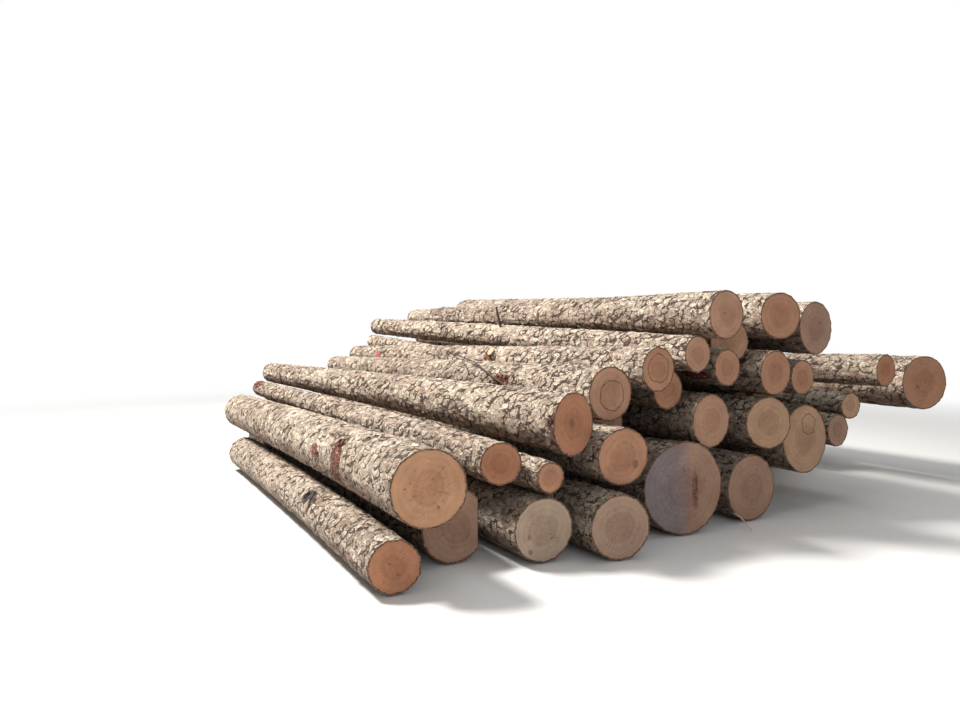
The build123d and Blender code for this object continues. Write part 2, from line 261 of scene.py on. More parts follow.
def saw_planes(name, facing):
    """The planes of the saw cuts on the near (-1) or far (1) end of a log's solid."""
    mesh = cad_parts[name].data
    end = min(v.co.y * -facing for v in mesh.vertices) * -facing
    faces = [f for f in mesh.polygons
             if f.normal.y * facing > END_FACING and abs(f.center.y - end) < 2 * CUT_MARGIN]
    planes = []
    for face in sorted(faces, key=lambda f: -f.area):
        if all(face.normal.dot(normal) < SAME_CUT for _, normal in planes):
            planes.append((face.center.copy(), face.normal.copy()))
    return planes


def ripped_plane(name):
    """The flat that a ripping cut left on the right side of a log."""
    sides = [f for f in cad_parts[name].data.polygons if f.normal.x > RIP_FACING]
    widest = max(sides, key=lambda f: f.area)
    return widest.center.copy(), widest.normal.copy()


def edit_mesh():
    """The active piece's mesh in edit mode."""
    bpy.ops.object.mode_set(mode="EDIT")
    return bmesh.from_edit_mesh(bpy.context.object.data)


def on_bark(line, along, clock, lift=0.0):
    """The point at a place on a log, and the way that points straight out of the bark."""
    y = line.near + along
    middle_x, middle_z, radius = line.at(y)
    out = Vector((-math.sin(math.radians(clock)), 0.0, math.cos(math.radians(clock))))
    return Vector((middle_x, y, middle_z)) + out * (radius + lift), out


def log_tube(name, line, sides, cuts):
    """An open tube along the line of the log, a little longer than the log."""
    bpy.ops.object.select_all(action="DESELECT")
    first = line.rings[0]
    bpy.ops.mesh.primitive_circle_add(
        vertices=sides, radius=first[3] + BARK_RISE, location=first[:3],
        rotation=(math.pi / 2, 0, -line.turn))
    log = bpy.context.object
    log.name = log.data.name = name
    bpy.ops.object.mode_set(mode="EDIT")
    bpy.ops.mesh.select_all(action="SELECT")
    for here, there in zip(line.rings, line.rings[1:]):
        step = Vector(there[:3] - here[:3])
        bpy.ops.mesh.extrude_region_move(TRANSFORM_OT_translate={"value": step})
        grow = there[3] / here[3]
        bpy.ops.transform.resize(value=(grow, grow, grow), center_override=Vector(there[:3]))
    # Cut the edges that run along the log, not those round it
    mesh = edit_mesh()
    least = (line.far - line.near) / STRETCHES / 3
    world = log.matrix_world
    for edge in mesh.edges:
        a, b = (world @ v.co for v in edge.verts)
        edge.select_set(abs(a.y - b.y) > least)
    bpy.ops.mesh.subdivide(number_cuts=cuts)
    bpy.ops.object.mode_set(mode="OBJECT")
    bpy.ops.object.transform_apply(location=True, rotation=True, scale=True)
    return log


def relief_texture(name, kind, scale, ramp=()):
    """A pattern that presses relief into the bark, its greys set by (place, grey) stops."""
    texture = bpy.data.textures.new(name, kind)
    texture.noise_scale = scale
    if kind == "VORONOI":
        # The second nearest cell less the nearest: zero along the edges of the cells
        texture.weight_1, texture.weight_2 = -1.0, 1.0
    if ramp:
        texture.use_color_ramp = True
        for mark, (place, grey) in zip(texture.color_ramp.elements, ramp):
            mark.position, mark.color = place, (grey, grey, grey, 1.0)
    return texture


LUMPS = relief_texture("log_lumps", "CLOUDS", 0.45)
PLATES = relief_texture("bark_plates", "VORONOI", 1.0, ((0.02, 0.0), (0.38, 1.0)))
FLAKES = relief_texture("bark_flakes", "CLOUDS", 1.0)

plate_space = bpy.data.objects.new("plate_space", None)
plate_space.scale = PLATE_SIZE
flake_space = bpy.data.objects.new("flake_space", None)
flake_space.scale = FLAKE_SIZE
for space in (plate_space, flake_space):
    bpy.context.scene.collection.objects.link(space)


def displace(log, texture, strength, space=None):
    """Press the relief into the log: it only goes inwards."""
    relief = log.modifiers.new(texture.name, "DISPLACE")
    relief.texture = texture
    relief.mid_level = 1.0
    relief.strength = strength
    relief.texture_coords = "OBJECT" if space else "LOCAL"
    relief.texture_coords_object = space
    bpy.context.view_layer.objects.active = log
    bpy.ops.object.modifier_apply(modifier=relief.name)


def face_out():
    """All faces of the active log point away from its heart."""
    bpy.ops.object.mode_set(mode="EDIT")
    bpy.ops.mesh.select_all(action="SELECT")
    bpy.ops.mesh.normals_make_consistent(inside=False)
    bpy.ops.object.mode_set(mode="OBJECT")


def saw(plane):
    """Saw the active log along a plane and close it with a flat face."""
    bpy.ops.object.mode_set(mode="EDIT")
    bpy.ops.mesh.select_all(action="SELECT")
    bpy.ops.mesh.bisect(plane_co=plane[0], plane_no=plane[1], use_fill=True, clear_outer=True)
    bpy.ops.object.mode_set(mode="OBJECT")


def sawn_faces(log, planes):
    """Set in a rim of cut bark round each sawn end and give the wood its material."""
    for side in planes:
        mesh = edit_mesh()
        bpy.ops.mesh.select_all(action="DESELECT")
        for face in mesh.faces:
            if any(face.normal.dot(normal) > ON_CUT
                   and abs((face.calc_center_median() - place).dot(normal)) < CUT_GAP
                   for place, normal in side):
                face.select_set(True)
        log.active_material_index = 2
        bpy.ops.object.material_slot_assign()
        bpy.ops.mesh.inset(thickness=BARK_THICKNESS, use_even_offset=False)
        log.active_material_index = 1
        bpy.ops.object.material_slot_assign()
        bpy.ops.object.mode_set(mode="OBJECT")


def give(piece, material):
    """The piece, in the material of that name."""
    piece.data.materials.append(bpy.data.materials[material])
    return piece


def raised_disc(place, out, radius, steps):
    """A disc on the bark of a log, drawn out step by step: each is a rise and a growth."""
    bpy.ops.object.select_all(action="DESELECT")
    bpy.ops.mesh.primitive_circle_add(
        vertices=LIMB_SIDES, radius=radius, fill_type="NGON", location=place,
        rotation=out.to_track_quat("Z", "Y").to_euler())
    disc = bpy.context.object
    bpy.ops.object.mode_set(mode="EDIT")
    for rise, grow in steps:
        bpy.ops.mesh.extrude_region_move(TRANSFORM_OT_translate={"value": out * rise})
        place = place + out * rise
        bpy.ops.transform.resize(value=(grow, grow, grow), center_override=place)
    bpy.ops.object.mode_set(mode="OBJECT")
    bpy.ops.object.transform_apply(location=True, rotation=True, scale=True)
    return disc


def join_to(log, pieces):
    """Join the pieces to the log."""
    bpy.context.view_layer.update()
    bpy.ops.object.select_all(action="DESELECT")
    for piece in pieces:
        piece.select_set(True)
    log.select_set(True)
    bpy.context.view_layer.objects.active = log
    bpy.ops.object.join()


def limb_scars(name, line):
    """Collars of bark round the holes where limbs came off, and the one limb sawn off."""
    scars = []
    for log_name, along, clock, radius, height, sunk in LIMB_SCARS:
        if log_name == name:
            place, out = on_bark(line, along, clock, LIMB_ROOT)
            steps = ((LIMB_FOOT, 1.0), (height * 0.7, 0.8), (height * 0.3, 0.8), (0.0, 0.8),
                     (-sunk * 0.5, 0.8), (-sunk * 0.5, 0.7))
            scars.append(raised_disc(place, out, radius * COLLAR_SPREAD, steps))
    if SAWN_LIMB[0] == name:
        _, along, clock, radius, height = SAWN_LIMB
        place, out = on_bark(line, along, clock, LIMB_ROOT)
        steps = ((LIMB_FOOT, 1.0), (SAWN_COLLAR, 0.72), (height, 0.94))
        scars.append(raised_disc(place, out, radius * SAWN_SPREAD, steps))
    return [give(scar, "pine_bark") for scar in scars]


def twig(start_radius, end_radius, points):
    """A twig or a sliver drawn out along its points, thinner at each."""
    bpy.ops.object.select_all(action="DESELECT")
    way = points[1] - points[0]
    bpy.ops.mesh.primitive_circle_add(
        vertices=7, radius=start_radius, fill_type="NGON", location=points[0],
        rotation=way.to_track_quat("Z", "Y").to_euler())
    stick = bpy.context.object
    bpy.ops.object.mode_set(mode="EDIT")
    thinner = (end_radius / start_radius) ** (1 / (len(points) - 1))
    for here, there in zip(points, points[1:]):
        bpy.ops.mesh.extrude_region_move(TRANSFORM_OT_translate={"value": there - here})
        bpy.ops.transform.resize(value=(thinner, thinner, thinner), center_override=there)
    bpy.ops.object.mode_set(mode="OBJECT")
    bpy.ops.object.transform_apply(location=True, rotation=True, scale=True)
    return stick


def bark_flake():
    """A thin flake of bark one unit in size, its edges cut back below."""
    bpy.ops.object.select_all(action="DESELECT")
    bpy.ops.mesh.primitive_circle_add(vertices=7, radius=1.0, fill_type="NGON")
    flake = bpy.context.object
    bpy.ops.object.mode_set(mode="EDIT")
    bpy.ops.mesh.extrude_region_move(TRANSFORM_OT_translate={"value": (0.0, 0.0, 1.0)})
    bpy.ops.transform.resize(value=(1.15, 1.15, 1.0), center_override=(0.0, 0.0, 1.0))
    bpy.ops.object.mode_set(mode="OBJECT")
    return flake


def lay_flake(place, out, turn, length, width, thick):
    """A copy of the flake, with its own mesh, laid on a log."""
    flake = flake_pattern.copy()
    flake.data = flake_pattern.data.copy()
    bpy.context.scene.collection.objects.link(flake)
    flake.location = place
    flake.rotation_euler = out.to_track_quat("Z", "Y").to_euler()
    flake.rotation_euler.rotate_axis("Z", turn)
    flake.scale = (length, width, thick)
    return flake


def small_pieces(name, lines):
    """Scars, twigs and flakes of bark that belong to the log."""
    line = lines[name]
    pieces = limb_scars(name, line)
    for carrier, material, start_radius, end_radius, places in TWIGS:
        if carrier == name:
            points = [on_bark(lines[log], *place)[0] for log, *place in places]
            pieces.append(give(twig(start_radius, end_radius, points), material))
    seeded = random.Random(name)
    for log_name, along, clock, half_length, half_width, number, turned in FLAKES_OF_BARK:
        if log_name == name:
            round_ = math.degrees(half_width / line.rings[0][3])
            for _ in range(number):
                shift = seeded.uniform(-half_length, half_length) + FLAKE_SHIFT
                aside = seeded.uniform(-round_, round_)
                place, out = on_bark(line, along + shift, clock + aside, FLAKE_LIFT)
                tilt = [seeded.uniform(-FLAKE_TILT, FLAKE_TILT) for _ in range(3)]
                flake = lay_flake(
                    place, (out + Vector(tilt)).normalized(), seeded.uniform(0, FLAKE_TURN),
                    seeded.uniform(*FLAKE_LENGTH), seeded.uniform(*FLAKE_WIDTH),
                    seeded.uniform(*FLAKE_THICKNESS))
                pieces.append(give(flake, "cut_bark" if seeded.random() < turned else "pine_bark"))
    return pieces


def marked(points, line, reach, along, clock, half_length, half_width):
    """One at a place on the log, and nothing at so many half sizes from it, at each point."""
    middle_x, middle_z, radius = line.at(points[:, 1])
    aside, up = points[:, 0] - middle_x, points[:, 2] - middle_z
    round_ = np.arctan2(-aside, up) - math.radians(clock)
    round_ = np.arctan2(np.sin(round_), np.cos(round_))
    along_ = points[:, 1] - line.near - along
    return np.clip(reach - np.hypot(along_ / half_length, round_ * radius / half_width), 0, 1)


def keep_places(mesh, name, line):
    """Write at each point what the materials read: place from the heart, sizes and marks."""
    points = np.empty(len(mesh.vertices) * 3)
    mesh.vertices.foreach_get("co", points)
    points = points.reshape(-1, 3)
    middle_x, middle_z, radius = line.at(points[:, 1])
    aside, up = points[:, 0] - middle_x, points[:, 2] - middle_z
    from_near = points[:, 1] - line.near
    # Each log starts at another place of the bark's pattern, so that no two look alike
    own_start = PATTERN_SHIFT * math.sin(line.rings[0][0] * PATTERN_SPREAD)
    place = np.stack([aside, from_near + own_start, up], axis=1).ravel()
    mesh.attributes.new("from_heart", "FLOAT_VECTOR", "POINT").data.foreach_set("vector", place)
    bare, dark, paint = np.zeros((3, len(points)))
    for log_name, *torn in TORN_BARK:
        if log_name == name:
            bare = np.maximum(bare, marked(points, line, TORN_REACH, *torn))
    # Painted shade in the limb holes, and a painted shadow of a broken limb on course_1_log_1
    for log_name, along, clock, size, *_ in LIMB_SCARS:
        if log_name == name:
            scar = marked(points, line, SCAR_REACH, along, clock, size, size)
            dark = np.maximum(dark, scar)
    if LIMB_HOLE_SHADOW[0] == name:
        dark = np.maximum(dark, marked(points, line, TORN_REACH, *LIMB_HOLE_SHADOW[1:]))
    if PAINT_DAB[0] == name:
        paint = marked(points, line, TORN_REACH, *PAINT_DAB[1:])
    for title, values in (("bark_depth", radius - np.hypot(aside, up)), ("log_radius", radius),
                          ("bare_wood", bare), ("painted_hole_shade", dark), ("paint_dab", paint)):
        mesh.attributes.new(title, "FLOAT", "POINT").data.foreach_set("value", values)


def keep_tints(mesh, name):
    """Write on each face what the sawn wood reads: its tint, and its knots and rings."""
    seeded = random.Random(name)
    far_tint = seeded.choice((TAN, PINK, BROWN, RUST))
    near_tint = NEAR_TINTS.get(name, seeded.choice((TAN, PINK)))
    near_face = [face.normal.y < 0 for face in mesh.polygons]
    tints, slate_plane = [], []
    for face, near in zip(mesh.polygons, near_face):
        tint = near_tint if near else far_tint
        if abs(face.normal.y) < END_FACING and name != RIPPED_LOG:
            tint = PALE
        tints += (*tint, 1.0)
        left_plane = face.normal.x < SLATE_LEFT and face.normal.y < SLATE_NEAR
        slate_plane.append(1.0 if name == FELLED_LOG and left_plane else 0.0)
    mesh.attributes.new("sawn_tint", "FLOAT_COLOR", "FACE").data.foreach_set("color", tints)
    mesh.attributes.new("slate_plane", "FLOAT", "FACE").data.foreach_set("value", slate_plane)
    drawn = {"ring_mark": FACE_RINGS.get(name)}
    knots = FACE_KNOTS.get(name, ())
    for count, title in enumerate(KNOT_MARKS):
        drawn[title] = knots[count] if count < len(knots) else None
    drawn["rift_mark"] = RIFT if name == FELLED_LOG else None
    for title, mark in drawn.items():
        right, above, size = mark or NO_MARK
        marks = [part for near in near_face for part in ((right, size, above) if near else NO_MARK)]
        mesh.attributes.new(title, "FLOAT_VECTOR", "FACE").data.foreach_set("vector", marks)


def keep_inside(log):
    """Bark that would reach under the floor or past the pile is pressed flat."""
    points = np.empty(len(log.data.vertices) * 3)
    log.data.vertices.foreach_get("co", points)
    points = np.clip(points.reshape(-1, 3), np.array(cad_low), np.array(cad_high))
    log.data.vertices.foreach_set("co", points.ravel())


def sawn_limb_face(log, line):
    """The end of the sawn limb shows bare wood."""
    _, along, clock, radius, height = SAWN_LIMB
    lift = LIMB_ROOT + LIMB_FOOT + SAWN_COLLAR + height
    place, out = on_bark(line, along, clock, lift)
    mesh = edit_mesh()
    bpy.ops.mesh.select_all(action="DESELECT")
    for face in mesh.faces:
        off = (face.calc_center_median() - place).length
        if off < radius * LIMB_FACE_REACH and face.normal.dot(out) > LIMB_FACING:
            face.select_set(True)
    log.active_material_index = 1
    bpy.ops.object.material_slot_assign()
    bpy.ops.object.mode_set(mode="OBJECT")


def make_log(name, lines, materials):
    """The dressed log: tube, relief, saw cuts, small pieces, and what its materials read."""
    line, hidden = lines[name], name.startswith("bearer")
    sides, cuts = FINE if name in FLANK_LOGS else COARSE if hidden else MEDIUM
    log = log_tube(name + "_bark", line, sides, cuts)
    face_out()
    displace(log, LUMPS, LUMP_DEPTH)
    displace(log, PLATES, PLATE_DEPTH, plate_space)
    displace(log, FLAKES, FLAKE_DEPTH, flake_space)
    keep_inside(log)
    near, far = saw_planes(name, -1), saw_planes(name, 1)
    for plane in near + far:
        saw(plane)
    if name == RIPPED_LOG:
        near.append(ripped_plane(name))
        saw(near[-1])
    for material in materials:
        log.data.materials.append(material)
    face_out()
    sawn_faces(log, (near, far))
    pieces = small_pieces(name, lines)
    if pieces:
        join_to(log, pieces)
        face_out()
    if name == SAWN_LIMB[0]:
        sawn_limb_face(log, line)
    keep_inside(log)
    keep_places(log.data, name, line)
    keep_tints(log.data, name)
    bpy.ops.object.select_all(action="DESELECT")
    log.select_set(True)
    bpy.ops.object.shade_smooth_by_angle(angle=SMOOTH_ANGLE)
    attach(log, "root")
    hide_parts(name)


def feed(tree, socket, value):
    """Link the socket to another node's output, or set it to a value."""
    if isinstance(value, bpy.types.NodeSocket):
        tree.links.new(value, socket)
    else:
        socket.default_value = value


def add_node(tree, kind, feeds=None, **settings):
    """A node with its settings, whose named inputs take a value or another node's output."""
    made = tree.nodes.new(kind)
    for key, value in settings.items():
        setattr(made, key, value)
    for title, value in (feeds or {}).items():
        feed(tree, made.inputs[title], value)
    return made


def maths(tree, operation, *values):
    feeds = dict(enumerate(values))
    return add_node(tree, "ShaderNodeMath", feeds, operation=operation).outputs[0]


def times(tree, one, two):
    return maths(tree, "MULTIPLY", one, two)


def summed(tree, first, *terms):
    """The first value, and of each other (value, share) term its share."""
    for value, share in terms:
        first = maths(tree, "ADD", first, times(tree, value, share))
    return first


def largest(tree, first, *others):
    for value in others:
        first = maths(tree, "MAXIMUM", first, value)
    return first


def vectors(tree, operation, *values):
    feeds = dict(enumerate(values))
    return add_node(tree, "ShaderNodeVectorMath", feeds, operation=operation).outputs["Vector"]


def scaled(tree, vector, size):
    feeds = {0: vector, "Scale": size}
    return add_node(tree, "ShaderNodeVectorMath", feeds, operation="SCALE").outputs["Vector"]


def dot(tree, one, two):
    feeds = {0: one, 1: two}
    return add_node(tree, "ShaderNodeVectorMath", feeds, operation="DOT_PRODUCT").outputs["Value"]


def length_of(tree, vector):
    return add_node(tree, "ShaderNodeVectorMath", {0: vector}, operation="LENGTH").outputs["Value"]


def parts_of(tree, vector):
    """The x, y and z of a vector."""
    return add_node(tree, "ShaderNodeSeparateXYZ", {0: vector}).outputs


def between(tree, value, low, high, to_low=0.0, to_high=1.0):
    """Value spread smoothly from low..high to to_low..to_high."""
    feeds = {"Value": value, "From Min": low, "From Max": high, "To Min": to_low, "To Max": to_high}
    return add_node(tree, "ShaderNodeMapRange", feeds, interpolation_type="SMOOTHSTEP").outputs[0]


def blended(tree, share, one, two, how="MIX"):
    """Colour one with a share of colour two, an output or (r, g, b)."""
    feeds = {0: share, 6: one, 7: (*two, 1.0) if isinstance(two, tuple) else two}
    mix = add_node(tree, "ShaderNodeMix", feeds, data_type="RGBA", blend_type=how)
    return mix.outputs[2]


def shaded(tree, value, *stops):
    """Colour ramp from (place, (r, g, b)) stops."""
    ramp = add_node(tree, "ShaderNodeValToRGB", {0: value})
    marks = ramp.color_ramp.elements
    while len(marks) < len(stops):
        marks.new(0.5)
    for mark, (place, colour) in zip(marks, stops):
        mark.position, mark.color = place, (*colour, 1.0)
    return ramp.outputs[0]


def noise(tree, place, scale, detail=4.0, rough=0.6, output="Fac"):
    feeds = {"Vector": place, "Scale": scale, "Detail": detail, "Roughness": rough}
    return add_node(tree, "ShaderNodeTexNoise", feeds).outputs[output]


def drift(tree, place, scale, detail, reach):
    """A shift of the place to any side, that changes from place to place."""
    away = noise(tree, place, scale, detail, output="Color")
    return scaled(tree, vectors(tree, "SUBTRACT", away, MIDDLE_GREY), reach)


def stretched(tree, place, along):
    """Place with the pattern drawn out along the log."""
    feeds = {"Vector": place, "Scale": (1.0, 1.0 / along, 1.0)}
    return add_node(tree, "ShaderNodeMapping", feeds).outputs[0]


def new_group(name, inputs, outputs):
    """A node group: its tree, the outputs of its entry and the inputs of its result."""
    group = bpy.data.node_groups.new(name, "ShaderNodeTree")
    for title, kind, value in inputs:
        socket = group.interface.new_socket(title, in_out="INPUT", socket_type=kind)
        if value is not None:
            socket.default_value = value
    for title in outputs:
        group.interface.new_socket(title, in_out="OUTPUT", socket_type="NodeSocketFloat")
    entry, leave = group.nodes.new("NodeGroupInput"), group.nodes.new("NodeGroupOutput")
    return group, entry.outputs, leave.inputs


def use_group(tree, group, feeds):
    return add_node(tree, "ShaderNodeGroup", feeds, node_tree=group).outputs


def bark_scale_group():
    """Scaly plates of bark: each lifts off at one side, over a dark and broken gap that is widened
    on that side as painted shadow.
    """
    group, given, result = new_group(
        "bark_scales",
        [("Place", "NodeSocketVector", None), ("Plate Size", "NodeSocketFloat", 0.04),
         ("Crack Width", "NodeSocketFloat", 0.1), ("Waviness", "NodeSocketFloat", 0.4),
         ("Tilt", "NodeSocketFloat", 0.5), ("Lift Way", "NodeSocketVector", None)],
        ("Height", "Crack", "Tone"))
    scale = maths(group, "DIVIDE", 1.0, given["Plate Size"])
    reach = times(group, times(group, given["Plate Size"], given["Waviness"]), 3.0)
    waves = drift(group, given["Place"], times(group, scale, 0.7), 3.0, reach)
    place = vectors(group, "ADD", given["Place"], waves)
    edges = add_node(group, "ShaderNodeTexVoronoi", {"Vector": place, "Scale": scale},
                     feature="DISTANCE_TO_EDGE").outputs["Distance"]
    cells = add_node(group, "ShaderNodeTexVoronoi", {"Vector": place, "Scale": scale}).outputs
    tone = add_node(group, "ShaderNodeSeparateColor", {0: cells["Color"]}).outputs
    gaps = noise(group, place, times(group, scale, 0.45), 2.0)
    middle = scaled(group, vectors(group, "SUBTRACT", place, cells["Position"]), scale)
    own_way = scaled(group, vectors(group, "SUBTRACT", cells["Color"], MIDDLE_GREY), 1.1)
    raised = dot(group, middle, vectors(group, "ADD", given["Lift Way"], own_way))
    width = times(group, given["Crack Width"], between(group, gaps, 0.36, 0.64, 0.10, 1.4))
    # The gap widens on the side that stands off: painted shadow under the lifted edge
    width = times(group, width, between(group, raised, -0.05, 0.38, 0.12, 2.3))
    crack = between(group, maths(group, "DIVIDE", edges, width), 0.25, 1.0, 1.0, 0.0)
    height = times(group, tone[1], 0.45)
    height = summed(group, height, (raised, given["Tilt"]), (crack, -0.8))
    group.links.new(height, result["Height"])
    group.links.new(crack, result["Crack"])
    group.links.new(tone[0], result["Tone"])
    return group


def flaking_group():
    """Thin layers of bark that have flaked off one after another, like worn steps."""
    group, given, result = new_group(
        "flaking_layers",
        [("Place", "NodeSocketVector", None), ("Scale", "NodeSocketFloat", 22.0),
         ("Layers", "NodeSocketFloat", 7.0)],
        ("Height", "Edge", "Tone"))
    climb = times(group, noise(group, given["Place"], given["Scale"], 3.0, 0.55), given["Layers"])
    level, above = maths(group, "FLOOR", climb), maths(group, "FRACT", climb)
    height = maths(group, "ADD", level, between(group, above, 0.0, 0.22))
    spot = add_node(group, "ShaderNodeTexWhiteNoise", {"W": level}, noise_dimensions="1D")
    group.links.new(maths(group, "DIVIDE", height, given["Layers"]), result["Height"])
    group.links.new(between(group, above, 0.02, 0.26, 1.0, 0.0), result["Edge"])
    group.links.new(spot.outputs["Value"], result["Tone"])
    return group


def wood_rings_group():
    """The face of a sawn log: growth rings, darker heart, drying cracks and saw marks."""
    group, given, result = new_group(
        "wood_rings",
        [("Place", "NodeSocketVector", None), ("Radius", "NodeSocketFloat", 0.2),
         ("Ring Width", "NodeSocketFloat", 0.008), ("Heart Share", "NodeSocketFloat", 0.45)],
        ("Rings", "Heart", "Cracks", "Saw Marks"))
    parts = parts_of(group, given["Place"])
    flat = add_node(group, "ShaderNodeCombineXYZ", {0: parts[0], 2: parts[2]}).outputs[0]
    # The radius is a log's own number here, so that no two logs have the same rings
    own = times(group, given["Radius"], 37.0)
    place = add_node(group, "ShaderNodeCombineXYZ", {0: parts[0], 1: own, 2: parts[2]}).outputs[0]
    flat = vectors(group, "ADD", flat, drift(group, place, 5.0, 2.0, 0.09))
    away = length_of(group, flat)
    share = maths(group, "DIVIDE", away, given["Radius"])
    turns = maths(group, "DIVIDE", away, given["Ring Width"])
    fine = maths(group, "SINE", times(group, turns, 6.283))
    broad = maths(group, "SINE", times(group, turns, 1.17))
    rings = summed(group, times(group, fine, 0.3), (broad, 0.2))
    inside = maths(group, "SUBTRACT", given["Heart Share"], 0.08)
    outside = maths(group, "ADD", given["Heart Share"], 0.08)
    # Cracks run out from the heart, where a noise round the face passes its middle
    spoke = scaled(group, vectors(group, "NORMALIZE", flat), 1.3)
    shift = add_node(group, "ShaderNodeCombineXYZ", {1: own}).outputs[0]
    spoke = vectors(group, "ADD", spoke, shift)
    off = maths(group, "SUBTRACT", noise(group, spoke, 3.0, 2.0, 0.7), 0.5)
    crack = between(group, maths(group, "ABSOLUTE", off), 0.0, 0.008, 1.0, 0.0)
    inner, outer = between(group, share, 0.02, 0.12), between(group, share, 0.45, 0.8, 1.0, 0.0)
    across = dot(group, given["Place"], SAW_WAY)
    across = summed(group, across, (noise(group, place, 9.0, 2.0), 0.02))
    group.links.new(maths(group, "ADD", rings, 0.5), result["Rings"])
    group.links.new(between(group, share, inside, outside, 1.0, 0.0), result["Heart"])
    group.links.new(times(group, crack, times(group, inner, outer)), result["Cracks"])
    group.links.new(maths(group, "SINE", times(group, across, 520.0)), result["Saw Marks"])
    return group


def face_mark_group():
    """A knot, and a ring line, at a place on a sawn face."""
    group, given, result = new_group(
        "face_marks",
        [("Place", "NodeSocketVector", None), ("Mark", "NodeSocketVector", None),
         ("Tall", "NodeSocketFloat", 1.0)],
        ("Knot", "Line"))
    mark = parts_of(group, given["Mark"])
    wavy = drift(group, given["Place"], 16.0, 2.0, 0.045)
    parts = parts_of(group, vectors(group, "ADD", given["Place"], wavy))
    right = maths(group, "SUBTRACT", parts[0], mark[0])
    above = maths(group, "DIVIDE", maths(group, "SUBTRACT", parts[2], mark[2]), given["Tall"])
    away = maths(group, "SQRT", summed(group, times(group, right, right), (above, above)))
    size = largest(group, mark[1], 0.0001)
    off = maths(group, "ABSOLUTE", maths(group, "SUBTRACT", away, size))
    drawn = maths(group, "GREATER_THAN", mark[1], 0.001)
    line = times(group, between(group, off, 0.0015, 0.0075, 1.0, 0.0), drawn)
    knot = between(group, maths(group, "DIVIDE", away, size), 0.55, 1.15, 1.0, 0.0)
    group.links.new(knot, result["Knot"])
    group.links.new(line, result["Line"])
    return group


def log_material(name):
    """An empty material, and a reader of what every log carries."""
    material = bpy.data.materials.new(name)
    material.use_nodes = True
    tree = material.node_tree

    def read(title, output="Fac"):
        return add_node(tree, "ShaderNodeAttribute", attribute_name=title).outputs[output]

    return material, tree, read


def finish(material, colour, roughness, height, strength, depth):
    """Feed the shader with the colour, the roughness and the relief."""
    tree, shader = material.node_tree, material.node_tree.nodes["Principled BSDF"]
    feeds = {"Height": height, "Strength": strength, "Distance": depth}
    relief = add_node(tree, "ShaderNodeBump", feeds).outputs[0]
    feed(tree, shader.inputs["Base Color"], colour)
    feed(tree, shader.inputs["Roughness"], roughness)
    feed(tree, shader.inputs["Normal"], relief)
    return material


def bark_material(name, scales, flaking):
    """Weathered pine bark with its torn places, limb scars and dab of paint."""
    material, tree, read = log_material(name)
    heart = read("from_heart", "Vector")
    place = stretched(tree, heart, 1.35)
    large = use_group(tree, scales, {"Place": place, **LARGE_PLATES})
    small = use_group(tree, scales, {"Place": place, **SMALL_PLATES})
    layers = use_group(tree, flaking, {"Place": place, "Scale": 26.0, "Layers": 8.0})
    weather = noise(tree, heart, 2.6, 5.0, 0.62)
    grit = noise(tree, place, 120.0, 4.0, 0.7)
    tone = summed(tree, times(tree, large["Tone"], 0.28), (small["Tone"], 0.20),
                  (layers["Tone"], 0.22), (weather, 0.66))
    colour = shaded(tree, maths(tree, "SUBTRACT", tone, 0.06), *BARK_COLOURS)
    colour = blended(tree, between(tree, grit, 0.42, 0.72, 0.0, 0.36), colour, BLEACHED_BARK)
    lilac = between(tree, noise(tree, heart, 1.3, 3.0), 0.45, 0.62, 0.0, 0.5)
    colour = blended(tree, lilac, colour, LILAC_CAST, how="MULTIPLY")
    # Painted shade: the underside of a log is painted darker and browner
    height_share = maths(tree, "DIVIDE", parts_of(tree, heart)[2], read("log_radius"))
    height_share = summed(tree, height_share, (maths(tree, "SUBTRACT", weather, 0.5), 1.2))
    under = between(tree, height_share, 0.15, -0.65, 0.0, 0.75)
    colour = blended(tree, under, colour, UNDERSIDE_SHADE, how="MULTIPLY")
    # Gaps: round the plates, in places round the small scales, at the layers' edges and deep; their
    # dark colour is partly the bark's own furrows and partly painted shade in the gaps and recesses
    busy = between(tree, noise(tree, heart, 4.0, 2.0), 0.40, 0.62, 0.25, 0.75)
    deep_furrow_shade = between(tree, read("bark_depth"), 0.006, 0.017)
    crack = largest(tree, times(tree, large["Crack"], 0.95), times(tree, small["Crack"], busy),
                    times(tree, layers["Edge"], 0.24), times(tree, deep_furrow_shade, 0.72))
    colour = blended(tree, crack, colour, GAP_AND_SHADE)
    # Torn places, scars and paint, all with a ragged edge; the scars' holes are painted near black
    # as painted shade
    rag = times(tree, maths(tree, "SUBTRACT", noise(tree, place, 24.0), 0.5), 1.5)
    bare = between(tree, maths(tree, "ADD", read("bare_wood"), rag), 0.42, 0.58)
    inner = shaded(tree, noise(tree, stretched(tree, heart, 2.0), 55.0, 3.0, 0.8), *INNER_BARK)
    colour = blended(tree, times(tree, bare, 0.92), colour, inner)
    # Painted shade: the limb holes, and the shadow of a broken limb, painted near black
    hole_shade = between(tree, summed(tree, read("painted_hole_shade"), (rag, 0.5)), 0.55, 0.85)
    colour = blended(tree, times(tree, hole_shade, 0.93), colour, SCAR_SHADE)
    paint = between(tree, maths(tree, "ADD", read("paint_dab"), rag), 0.5, 0.62, 0.0, 0.75)
    colour = blended(tree, paint, colour, PINK_PAINT)
    height = summed(tree, large["Height"], (small["Height"], 0.42), (layers["Height"], 1.3),
                    (grit, 0.22), (bare, -0.5))
    roughness = between(tree, crack, 0.0, 1.0, 0.78, 0.95)
    finish(material, colour, roughness, height, 1.0, 0.022)
    tree.nodes["Principled BSDF"].inputs["Specular IOR Level"].default_value = 0.25
    return material


